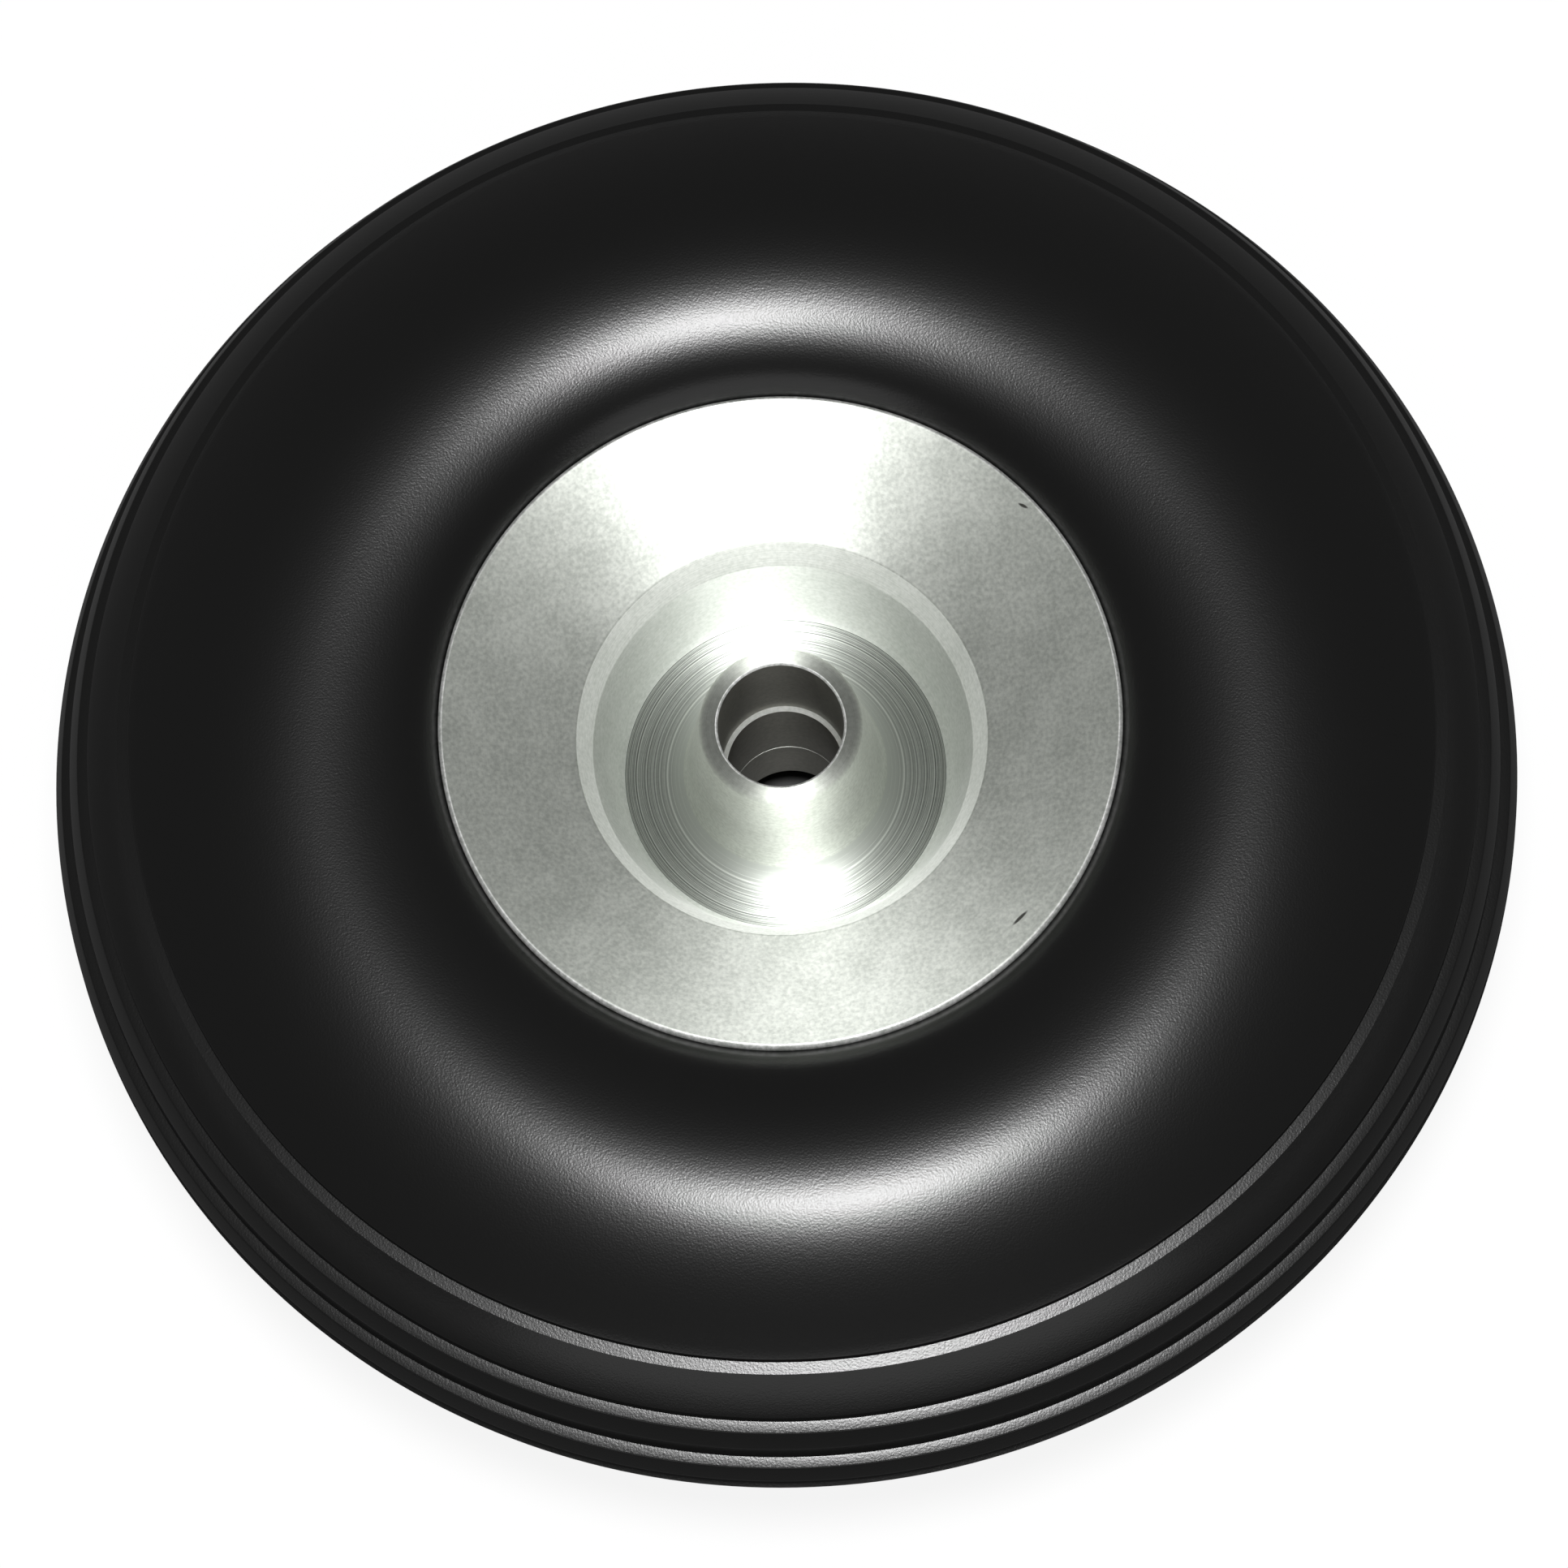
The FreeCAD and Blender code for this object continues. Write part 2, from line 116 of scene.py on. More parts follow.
def add_camera():
    """A camera that looks at the hub's rim, with the wheel's outline centred in the view."""
    back = Vector((0, -math.cos(CAMERA_ELEVATION), math.sin(CAMERA_ELEVATION)))
    side = Vector((1, 0, 0))
    up = back.cross(side)
    right = side * math.cos(CAMERA_ROLL) + up * math.sin(CAMERA_ROLL)
    up = back.cross(right)
    rim_centre = Vector((0, 0, RIM_HEIGHT * MM))
    place = rim_centre + back * CAMERA_DISTANCE
    aim = rim_centre + right * AIM_OFFSET[0] + up * AIM_OFFSET[1]
    look_back = (place - aim).normalized()
    look_right = up.cross(look_back).normalized()
    look_up = look_back.cross(look_right)
    data = bpy.data.cameras.new("camera")
    data.lens = FOCAL_LENGTH
    data.sensor_width = SENSOR_WIDTH
    data.clip_start = NEAREST_SEEN
    camera = bpy.data.objects.new("camera", data)
    axes = Matrix((look_right, look_up, look_back)).transposed()
    camera.matrix_world = Matrix.Translation(place) @ axes.to_4x4()
    bpy.context.scene.collection.objects.link(camera)
    bpy.context.scene.camera = camera
    return camera


camera = add_camera()
print("camera at", [round(value, 3) for value in camera.matrix_world.translation])

# %% [markdown]
# ## Turning a piece
#
# Everything here was turned on a lathe or moulded in a turned mould. A round piece could be put
# together from cylinders and tori, but its slopes and corners are what the light shows, and a section
# holds them all. So each piece starts as half of its cross section, drawn as a chain of edges in the
# XZ plane, and that chain is spun round Z. A real edge is never quite sharp, so a corner may be
# rounded before the spin, while it is still one vertex.

# %% Drawing a section
CORNER_SEGMENTS = 4
MERGE_WITHIN = 1e-8
SAME_PLACE = 1e-6


def select_points(mesh, chosen):
    """In object mode, selects just the vertices for which chosen(coordinate) is true."""
    for polygon in mesh.polygons:
        polygon.select = False
    for edge in mesh.edges:
        edge.select = False
    for vertex in mesh.vertices:
        vertex.select = chosen(vertex.co)


def round_corner(piece, place, rounding):
    """Bevels the section's vertex at a place."""
    bpy.ops.object.mode_set(mode="OBJECT")
    select_points(piece.data, lambda co: (co - place).length < SAME_PLACE)
    bpy.ops.object.mode_set(mode="EDIT")
    bpy.ops.mesh.bevel(affect="VERTICES", offset=rounding * MM, segments=CORNER_SEGMENTS)


def draw_section(name, corners):
    """Draws a closed chain of edges through corners, each (radius, height, rounding), in mm."""
    places = [Vector((radius, 0, height)) * MM for radius, height, rounding in corners]
    bpy.ops.object.select_all(action="DESELECT")
    bpy.ops.mesh.primitive_plane_add(size=MM, location=places[0])
    piece = bpy.context.object
    piece.name = name
    bpy.ops.object.transform_apply(location=True)
    bpy.ops.object.mode_set(mode="EDIT")
    bpy.ops.mesh.select_mode(type="VERT")
    bpy.ops.mesh.select_all(action="SELECT")
    bpy.ops.mesh.merge(type="CENTER")
    for here, there in zip(places, places[1:] + places[:1]):
        bpy.ops.mesh.extrude_vertices_move(TRANSFORM_OT_translate={"value": there - here})
    bpy.ops.mesh.select_all(action="SELECT")
    bpy.ops.mesh.remove_doubles(threshold=MERGE_WITHIN)
    for place, (radius, height, rounding) in zip(places, corners):
        if rounding > 0:
            round_corner(piece, place, rounding)
    bpy.ops.object.mode_set(mode="OBJECT")
    print(name, "has a section of", len(piece.data.vertices), "points")
    return piece

# %% Spinning and smoothing it
SMOOTH_ANGLE = 38
LARGE_FACES_LEAD = 100


def spin_section(piece, steps):
    """Spins the section round Z, closes the seam and turns every face outwards."""
    bpy.ops.object.mode_set(mode="EDIT")
    bpy.ops.mesh.select_all(action="SELECT")
    bpy.ops.mesh.spin(steps=steps, angle=2 * math.pi, center=(0, 0, 0), axis=(0, 0, 1))
    bpy.ops.mesh.select_all(action="SELECT")
    bpy.ops.mesh.remove_doubles(threshold=MERGE_WITHIN)
    bpy.ops.mesh.normals_make_consistent(inside=False)
    bpy.ops.object.mode_set(mode="OBJECT")
    return piece


def smooth_piece(piece, angle=SMOOTH_ANGLE):
    """Smooths what is round. The large faces lead the normals, so that flats stay flat."""
    bpy.ops.object.select_all(action="DESELECT")
    piece.select_set(True)
    bpy.context.view_layer.objects.active = piece
    bpy.ops.object.shade_smooth_by_angle(angle=math.radians(angle))
    weighted = piece.modifiers.new("flats stay flat", "WEIGHTED_NORMAL")
    weighted.keep_sharp = True
    weighted.weight = LARGE_FACES_LEAD
    bpy.ops.object.modifier_apply(modifier=weighted.name)
    print(piece.name, "has", len(piece.data.polygons), "faces")
    return piece

# %% [markdown]
# ## Tyre
#
# The tyre is one solid moulding, with a rounded crown on each side and a shallow groove round its
# middle. Three terraces step down each shoulder, each an upright riser with a narrow ledge at its foot
# that falls a little outwards. Loops cut into a torus could be pushed about until they look like that,
# but the ledges catch the light by their tilt, so they are drawn as corners with a known slope. The
# bands between them are arcs. The other side is the same, so the section is drawn for the upper half
# and walked back for the lower one.

# %% The crown
CROWN_REACH = 6.5
CROWN = RIM_RADIUS + CROWN_REACH
CROWN_ROUND = 12.3
CROWN_POINTS = 20


def crown_points(end, power):
    """Half of the crown, from its top to just short of end. Near the top it is an arc of the radius
    CROWN_ROUND. The further it gets, the more a higher power of the distance takes it to end."""
    reach, drop = end[0] - CROWN, HALF_WIDTH - end[1]
    left_over = drop - reach**2 / (2 * CROWN_ROUND)
    points = []
    for step in range(CROWN_POINTS):
        out = reach * step / CROWN_POINTS
        fall = out**2 / (2 * CROWN_ROUND) + left_over * (step / CROWN_POINTS) ** power
        points.append((CROWN + out, HALF_WIDTH - fall, 0))
    return points


print(f"the crown is highest at a radius of {CROWN:.2f} mm")

# %% The terraces and the groove
TERRACES = [
    # riser radius, riser's top, riser's foot, ledge width, rounding of the ledge's edge
    (33.66, 8.60, 8.10, 0.60, 0),
    (35.97, 5.75, 5.00, 0.58, 0.05),
    (37.05, 3.55, 1.97, 0.55, 0.05),
]
LEDGE_TILT = math.radians(12.5)
RISER_ROUND = 0.05
BAND_BULGE = 15.0
BAND_POINTS = 8
GROOVE_HALF = 0.6
GROOVE_DEPTH = 0.5
GROOVE_DRAFT = 0.15
GROOVE_ROUND = 0.08


def arc_points(start, end, radius, count):
    """Points of the arc from start to end, without the ends. It bulges to the left of the way."""
    start, end = Vector(start), Vector(end)
    way = end - start
    left = Vector((-way.y, way.x)).normalized()
    centre = (start + end) / 2 - left * math.sqrt(radius**2 - (way.length / 2) ** 2)
    first = math.atan2(start.y - centre.y, start.x - centre.x)
    turn = -2 * math.asin(way.length / 2 / radius)
    points = []
    for step in range(1, count):
        angle = first + turn * step / count
        points.append((centre.x + radius * math.cos(angle), centre.y + radius * math.sin(angle)))
    return points


def terrace_points():
    """From the first riser's top down to the edge of the groove."""
    corners = []
    band_ends = [terrace[:2] for terrace in TERRACES[1:]] + [(TYRE_RADIUS, GROOVE_HALF)]
    for (riser, top, foot, ledge, rounding), band_end in zip(TERRACES, band_ends):
        ledge_end = (riser + ledge, foot - ledge * math.tan(LEDGE_TILT))
        corners += [(riser, top, RISER_ROUND), (riser, foot, 0), (*ledge_end, rounding)]
        corners += [(*point, 0) for point in arc_points(ledge_end, band_end, BAND_BULGE, BAND_POINTS)]
    return corners


print(len(TERRACES), "terraces, with ledges that fall by", round(math.degrees(LEDGE_TILT), 1), "degrees")

# %% The tyre
TYRE_STEPS = 288
TYRE_SMOOTH = 30
BEAD_POWER, BAND_POWER = 8, 4


def upper_tyre_section():
    """From the barrel up over the crown and down the terraces to the centre groove."""
    rubber_edge = (RIM_RADIUS, RUBBER_EDGE)
    corners = [(BARREL, BEAD_TOP, 0), (RIM_RADIUS, RIM_BACK, 0), (*rubber_edge, 0)]
    corners += reversed(crown_points(rubber_edge, BEAD_POWER))
    corners += crown_points(TERRACES[0][:2], BAND_POWER)[1:]
    corners += terrace_points()
    corners += [(TYRE_RADIUS, GROOVE_HALF, GROOVE_ROUND)]
    corners += [(TYRE_RADIUS - GROOVE_DEPTH, GROOVE_HALF - GROOVE_DRAFT, GROOVE_ROUND)]
    return corners


def make_tyre():
    upper = upper_tyre_section()
    lower = [(radius, -height, rounding) for radius, height, rounding in reversed(upper)]
    return smooth_piece(spin_section(draw_section("solid_tyre", upper + lower), TYRE_STEPS), TYRE_SMOOTH)


tyre = make_tyre()
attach(tyre, "root")
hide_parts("tyre")

# %% [markdown]
# ## Screw holes
#
# The outer half has four tapped holes and the inner half four plain ones in line with them. They lie
# off the axle, so no spin can make them, and holes set into the mesh by hand would need new faces
# round each of them. A cylinder is cut away with a Boolean modifier instead. The holes' threads are
# out of sight in the closed hub and aren't made.

# %% Screw holes
SCREW_CIRCLE = 7.45
SCREW_COUNT = 4
TAPPED_HOLE = 1.27
SHANK_HOLE = 1.40
TAPPED_DEPTH = 3.0
DRILL_OVERRUN = 0.5
DRILL_SIDES = 48


def cut_away(piece, tool, name):
    """Takes the tool's shape out of a piece and removes the tool."""
    cut = piece.modifiers.new(name, "BOOLEAN")
    cut.operation = "DIFFERENCE"
    cut.solver = "EXACT"
    cut.object = tool
    bpy.context.view_layer.objects.active = piece
    bpy.ops.object.modifier_apply(modifier=cut.name)
    bpy.data.objects.remove(tool)


def cut_screw_holes(piece, radius, low, high):
    """Drills a ring of holes, from the height low to the height high, through a piece."""
    for number in range(SCREW_COUNT):
        angle = 2 * math.pi * number / SCREW_COUNT
        bpy.ops.object.select_all(action="DESELECT")
        bpy.ops.mesh.primitive_cylinder_add(
            vertices=DRILL_SIDES, radius=radius * MM, depth=(high - low) * MM,
            location=(SCREW_CIRCLE * math.cos(angle) * MM, SCREW_CIRCLE * math.sin(angle) * MM,
                      (low + high) / 2 * MM),
        )
        cut_away(piece, bpy.context.object, "screw hole")
    print(piece.name, "has", SCREW_COUNT, "holes of radius", radius, "mm")

# %% [markdown]
# ## Outer hub half
#
# This half is the one that shows: a dished flange, a steep step, a tapered cup, and a boss that flares
# into the cup's floor and holds a stepped bore. It was turned in one go from bar. A stack of cones
# would give the same slopes, but then every seam between two cones has to be joined and rounded. In
# one section the corners simply follow each other: from the bore's inner end round the outside, over
# the face and back into the bore.

# %% Outer hub half
HUB_STEPS = 256
STEP_HEIGHT = 1.4
CUP_MOUTH = (9.85, DISH_EDGE[1] - STEP_HEIGHT)
CUP_RADIUS = 8.5
CUP_FLOOR = 0.3
CUP_FILLET = 0.7
BOSS_ROOT = 5.3
BOSS_FLARE = 1.4
BOSS_RADIUS = 4.2
BOSS_EDGE = 0.31
RELIEF_DEPTH = 6.95
SHOULDER = BOSS_FACE - RELIEF_DEPTH
SPIGOT = 5.5
RIM_CHAMFER = 0.2
MOUTH_CHAMFER = 0.1
EDGE = 0.12
TURNED_EDGE = 0.1
FINE_EDGE = 0.03
BORE_EDGE = 0.02


def make_outer_half():
    turned = spin_section(draw_section("turned_outer_hub", [
        (BORE, SPIGOT_END, 0),
        (SPIGOT, SPIGOT_END, TURNED_EDGE),
        (SPIGOT, PARTING, 0),
        (BARREL, PARTING, 0),
        (BARREL, BEAD_TOP, 0),
        (RIM_RADIUS, RIM_BACK, 0),
        (RIM_RADIUS, RIM_HEIGHT - RIM_CHAMFER, TURNED_EDGE),
        (RIM_RADIUS - RIM_CHAMFER, RIM_HEIGHT, TURNED_EDGE),
        (*DISH_EDGE, EDGE),
        (*CUP_MOUTH, EDGE),
        (CUP_RADIUS, CUP_FLOOR, CUP_FILLET),
        (BOSS_ROOT, CUP_FLOOR, BOSS_FLARE),
        (BOSS_RADIUS, BOSS_FACE, BOSS_EDGE),
        (RELIEF + MOUTH_CHAMFER, BOSS_FACE, FINE_EDGE),
        (RELIEF, BOSS_FACE - MOUTH_CHAMFER, FINE_EDGE),
        (RELIEF, SHOULDER, BORE_EDGE),
        (BORE, SHOULDER - (RELIEF - BORE), BORE_EDGE),
    ]), HUB_STEPS)
    cut_screw_holes(turned, TAPPED_HOLE, PARTING - DRILL_OVERRUN, PARTING + TAPPED_DEPTH)
    return smooth_piece(turned)


outer_half = make_outer_half()
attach(outer_half, "root")
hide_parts("outer_hub_half")

# %% [markdown]
# ## Inner hub half
#
# The inner half closes the hub from behind. The outer half's spigot centres it, and the screws' heads
# stand in its wide recess, round a boss of its own. A mirrored copy of the outer half would only match
# at the flange, the barrel and the boss, so this is a second section that shares those values with
# the first, with their heights turned round.

# %% Inner hub half
RECESS = 10.3
WEB_THICKNESS = 2.4
RECESS_FLOOR = PARTING - WEB_THICKNESS
RECESS_FILLET = 0.3
BACK_BOSS_ROOT = 4.7
SEAT_CLEARANCE = 0.03
BED_CLEARANCE = 0.1
SPIGOT_SEAT = SPIGOT + SEAT_CLEARANCE
SPIGOT_BED = SPIGOT_END - BED_CLEARANCE
BACK_RIM_EDGES = (0.07, 0.08)


def make_inner_half():
    rim = -RIM_HEIGHT
    turned = spin_section(draw_section("turned_inner_hub", [
        (BORE, SPIGOT_BED, 0),
        (SPIGOT_SEAT, SPIGOT_BED, 0),
        (SPIGOT_SEAT, PARTING, 0),
        (BARREL, PARTING, 0),
        (BARREL, -BEAD_TOP, 0),
        (RIM_RADIUS, -RIM_BACK, 0),
        (RIM_RADIUS, rim + RIM_CHAMFER, BACK_RIM_EDGES[0]),
        (RIM_RADIUS - RIM_CHAMFER, rim, BACK_RIM_EDGES[1]),
        (DISH_EDGE[0], -DISH_EDGE[1], EDGE),
        (RECESS, RECESS_FLOOR, RECESS_FILLET),
        (BACK_BOSS_ROOT, RECESS_FLOOR, RECESS_FILLET),
        (BOSS_RADIUS, -BOSS_FACE, BOSS_EDGE),
        (BORE + MOUTH_CHAMFER, -BOSS_FACE, FINE_EDGE),
        (BORE, -BOSS_FACE + MOUTH_CHAMFER, FINE_EDGE),
    ]), HUB_STEPS)
    cut_screw_holes(turned, SHANK_HOLE, RECESS_FLOOR - DRILL_OVERRUN, PARTING + DRILL_OVERRUN)
    return smooth_piece(turned)


inner_half = make_inner_half()
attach(inner_half, "root")
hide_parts("inner_hub_half")

# %% [markdown]
# ## Screws
#
# Four cap screws hold the halves together from the inner side. One is turned as a section with its
# head, its shank and a point, every other edge of its head is drawn in a little as a knurl, and a
# six-sided bar is cut out of it for the key. The knurl could be a bump in the material, but it shows
# on the head's outline, so it is in the mesh. The other three are copies, turned round the axle.

# %% Knurl and key socket
SCREW_STEPS = 72
KEY_ACROSS_FLATS = 2.0
KEY_DEPTH = 1.25
KNURL_DEPTH = 0.05
ON_HEAD_SIDE = 0.01
screw_low, screw_top = (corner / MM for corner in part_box("hub_screw_1"))
HEAD_RADIUS = (screw_top.y - screw_low.y) / 2
print(f"screw head of radius {HEAD_RADIUS:.2f} mm, from {screw_low.z:.2f} to {RECESS_FLOOR:.2f} mm")


def knurl_head(screw):
    """Draws every other edge of the head's side inwards."""
    def is_groove(co):
        step = round(math.degrees(math.atan2(co.y, co.x)) / 360 * SCREW_STEPS)
        return co.xy.length > (HEAD_RADIUS - ON_HEAD_SIDE) * MM and step % 2 == 1

    select_points(screw.data, is_groove)
    bpy.ops.object.mode_set(mode="EDIT")
    scale = 1 - KNURL_DEPTH / HEAD_RADIUS
    bpy.ops.transform.resize(value=(scale, scale, 1), center_override=(0, 0, 0))
    bpy.ops.object.mode_set(mode="OBJECT")


def cut_key_socket(screw):
    """Cuts the six-sided socket into the head, with its floor as deep as KEY_DEPTH."""
    bpy.ops.object.select_all(action="DESELECT")
    bpy.ops.mesh.primitive_cylinder_add(
        vertices=6, radius=KEY_ACROSS_FLATS / math.sqrt(3) * MM, depth=2 * KEY_DEPTH * MM,
        location=(0, 0, screw_low.z * MM),
    )
    cut_away(screw, bpy.context.object, "key socket")

# %% The first screw
SHANK_RADIUS = 1.25
HEAD_ROUND = 0.25
UNDER_HEAD_ROUND = 0.06
POINT_ROUND = 0.2
SCREW_SMOOTH = 30


def make_first_screw():
    """The section starts and ends on the axis, so the spin leaves a loose edge there to delete."""
    screw = spin_section(draw_section("cap_screw_1", [
        (0, screw_low.z, 0),
        (HEAD_RADIUS, screw_low.z, HEAD_ROUND),
        (HEAD_RADIUS, RECESS_FLOOR, UNDER_HEAD_ROUND),
        (SHANK_RADIUS, RECESS_FLOOR, 0),
        (SHANK_RADIUS, screw_top.z, POINT_ROUND),
        (0, screw_top.z, 0),
    ]), SCREW_STEPS)
    bpy.ops.object.mode_set(mode="EDIT")
    bpy.ops.mesh.select_all(action="SELECT")
    bpy.ops.mesh.delete_loose(use_verts=True, use_edges=True, use_faces=False)
    bpy.ops.object.mode_set(mode="OBJECT")
    knurl_head(screw)
    cut_key_socket(screw)
    bpy.ops.object.select_all(action="DESELECT")
    screw.select_set(True)
    screw.location.x = SCREW_CIRCLE * MM
    bpy.ops.object.transform_apply(location=True)
    return smooth_piece(screw, SCREW_SMOOTH)


screws = [make_first_screw()]

# %% Its copies
def copy_screw(first, number):
    """A copy with its own mesh, turned round the axle to its place."""
    screw = first.copy()
    screw.data = first.data.copy()
    screw.name = f"cap_screw_{number}"
    bpy.context.scene.collection.objects.link(screw)
    screw.rotation_euler.z = 2 * math.pi * (number - 1) / SCREW_COUNT
    bpy.ops.object.select_all(action="DESELECT")
    screw.select_set(True)
    bpy.context.view_layer.objects.active = screw
    bpy.ops.object.transform_apply(rotation=True)
    return screw


screws += [copy_screw(screws[0], number) for number in range(2, SCREW_COUNT + 1)]
for number, screw in enumerate(screws, start=1):
    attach(screw, "root")
    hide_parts(f"hub_screw_{number}")
print(len(screws), "screws with", len(screws[0].data.polygons), "faces each")

# %% [markdown]
# ## Finishes
#
# A finish could be a picture wrapped round the piece, but a picture blurs from near by and needs a
# file. Here each one is built from nodes on Object coordinates, which are metres in the wheel's own
# frame, so a pattern's scale is simply how many of it go into a metre. The nodes are many and alike,
# so a few helpers add and link them.

# %% Helpers for any material
def new_material(name):
    """A material with its node tree and its Principled shader."""
    material = bpy.data.materials.new(name)
    material.use_nodes = True
    print("finish:", name)
    return material, material.node_tree, material.node_tree.nodes["Principled BSDF"]


def object_place(tree):
    return tree.nodes.new("ShaderNodeTexCoord").outputs["Object"]


def set_input(tree, socket, value):
    """Sets a socket to a number, or links it to another node's output."""
    if isinstance(value, bpy.types.NodeSocket):
        tree.links.new(value, socket)
    elif value is not None:
        socket.default_value = value


def math_node(tree, operation, first, second=None, clamp=False):
    node = tree.nodes.new("ShaderNodeMath")
    node.operation = operation
    node.use_clamp = clamp
    for socket, value in zip(node.inputs, (first, second)):
        set_input(tree, socket, value)
    return node.outputs[0]

# %% Helpers for patterns and colours
def noise_node(tree, place, scale, detail=2.0):
    node = tree.nodes.new("ShaderNodeTexNoise")
    set_input(tree, node.inputs["Vector"], place)
    node.inputs["Scale"].default_value = scale
    node.inputs["Detail"].default_value = detail
    return node.outputs["Fac"]


def spread(tree, value, low, high, new_low, new_high):
    """Maps low..high of a value to new_low..new_high and clamps it there."""
    node = tree.nodes.new("ShaderNodeMapRange")
    for name, number in zip(("Value", "From Min", "From Max", "To Min", "To Max"),
                            (value, low, high, new_low, new_high)):
        set_input(tree, node.inputs[name], number)
    return node.outputs[0]


def mix_colors(tree, factor, first, second):
    """A colour between two, each a tuple or another node's output."""
    node = tree.nodes.new("ShaderNodeMix")
    node.data_type = "RGBA"
    set_input(tree, node.inputs["Factor"], factor)
    for socket, color in zip(node.inputs[6:8], (first, second)):
        set_input(tree, socket, (*color, 1) if isinstance(color, tuple) else color)
    return node.outputs[2]

# %% [markdown]
# ### Rubber
#
# Moulded rubber is nearly black and takes its form from soft reflections alone. A higher roughness
# would spread its highlights but also turn them dull, so the shader stays fairly smooth and a fine
# grain, as a bump, breaks them up. There are a few tiny pale pits too: they sit in cells of a
# Voronoi pattern, and only the rare cell has one.

# %% Rubber
RUBBER_COLOR = (0.0016, 0.0016, 0.0015)
RUBBER_SPECULAR = 0.56
RUBBER_ROUGHNESS = 0.27
RUBBER_GRAIN = 9000
GRAIN_DEPTH = 0.0075
PIT_COLOR = (0.22, 0.22, 0.21)
PIT_CELLS = 210
PIT_RARITY = 0.93
PIT_SIZE, PIT_OUTSIDE = 0.012, 0.022


def rubber_material():
    material, tree, shader = new_material("moulded black rubber")
    place = object_place(tree)
    shader.inputs["Specular IOR Level"].default_value = RUBBER_SPECULAR
    shader.inputs["Roughness"].default_value = RUBBER_ROUGHNESS
    cells = tree.nodes.new("ShaderNodeTexVoronoi")
    set_input(tree, cells.inputs["Vector"], place)
    cells.inputs["Scale"].default_value = PIT_CELLS
    rare = math_node(tree, "GREATER_THAN", cells.outputs["Color"], PIT_RARITY)
    pit = spread(tree, cells.outputs["Distance"], PIT_SIZE, PIT_OUTSIDE, 1, 0)
    pit = math_node(tree, "MULTIPLY", pit, rare)
    set_input(tree, shader.inputs["Base Color"], mix_colors(tree, pit, RUBBER_COLOR, PIT_COLOR))
    bump = tree.nodes.new("ShaderNodeBump")
    bump.inputs["Distance"].default_value = GRAIN_DEPTH * MM
    set_input(tree, bump.inputs["Height"], noise_node(tree, place, RUBBER_GRAIN))
    set_input(tree, shader.inputs["Normal"], bump.outputs["Normal"])
    return material


tyre.data.materials.append(rubber_material())

# %% [markdown]
# ### Turned aluminium
#
# A lathe leaves fine grooves in circles round the axle. Each groove throws light out across itself, so
# a lamp draws two bright fans that meet at the axle. Grooves in the mesh, or as a bump, would be too
# fine to render cleanly, and the shader's anisotropy gives the same fans. Its tangent is the direction
# across the grooves, which is the surface normal crossed with the way round the axle, and that holds
# on a flat face and on a bore's wall alike.

# %% Directions on a turned face
def vector_node(tree, operation, first, second=None):
    node = tree.nodes.new("ShaderNodeVectorMath")
    node.operation = operation
    for socket, value in zip(node.inputs, (first, second)):
        set_input(tree, socket, value)
    return node.outputs["Value" if operation in ("LENGTH", "DOT_PRODUCT") else "Vector"]


def across_grooves(tree, place):
    around = vector_node(tree, "CROSS_PRODUCT", (0, 0, 1), place)
    normal = tree.nodes.new("ShaderNodeNewGeometry").outputs["Normal"]
    return vector_node(tree, "NORMALIZE", vector_node(tree, "CROSS_PRODUCT", normal, around))


def radius_of(tree, place):
    return vector_node(tree, "LENGTH", vector_node(tree, "MULTIPLY", place, (1, 1, 0)))

# %% Ring marks
RINGS_PER_METRE = 15000
RING_DETAIL = 4.0


def ring_marks(tree, place):
    """Noise that is the same all round the axle and changes only across the grooves."""
    split = tree.nodes.new("ShaderNodeSeparateXYZ")
    set_input(tree, split.inputs[0], place)
    node = tree.nodes.new("ShaderNodeTexNoise")
    node.noise_dimensions = "1D"
    set_input(tree, node.inputs["W"], math_node(tree, "ADD", radius_of(tree, place), split.outputs["Z"]))
    node.inputs["Scale"].default_value = RINGS_PER_METRE
    node.inputs["Detail"].default_value = RING_DETAIL
    return node.outputs["Fac"]

# %% [markdown]
# ### Scratches
#
# Two short dark scratches mark the flange. They could be cut into the mesh, but they are thinner than
# its faces there. So each one is a long thin ellipse in the material, which is placed by its radius
# and its angle on the face.

# %% Scratches
SCRATCHES = [
    # radius, angle, direction (degrees), length and width (mm)
    (16.2, -46.6, 39, 1.1, 0.20),
    (17.0, 36.7, -36, 0.6, 0.16),
]
SCRATCH_CORE, SCRATCH_OUTSIDE = 0.4, 1.2
SCRATCH_COLOR = (0.10, 0.10, 0.09)
print(len(SCRATCHES), "scratches on the flange")


def scratch_marks(tree, place):
    """One where a scratch lies, and nothing beside it."""
    marks = 0.0
    for radius, angle, direction, length, width in SCRATCHES:
        angle, direction = math.radians(angle), math.radians(direction)
        centre = (radius * math.cos(angle) * MM, radius * math.sin(angle) * MM, 0)
        way = (math.cos(direction), math.sin(direction), 0)
        side = (-way[1], way[0], 0)
        offset = vector_node(tree, "SUBTRACT", place, centre)
        reach = 0.0
        for axis, size in ((way, length), (side, width)):
            share = math_node(tree, "DIVIDE", vector_node(tree, "DOT_PRODUCT", offset, axis), size / 2 * MM)
            reach = math_node(tree, "ADD", math_node(tree, "MULTIPLY", share, share), reach)
        mark = spread(tree, reach, SCRATCH_CORE, SCRATCH_OUTSIDE, 1, 0)
        marks = math_node(tree, "MAXIMUM", mark, marks)
    return marks

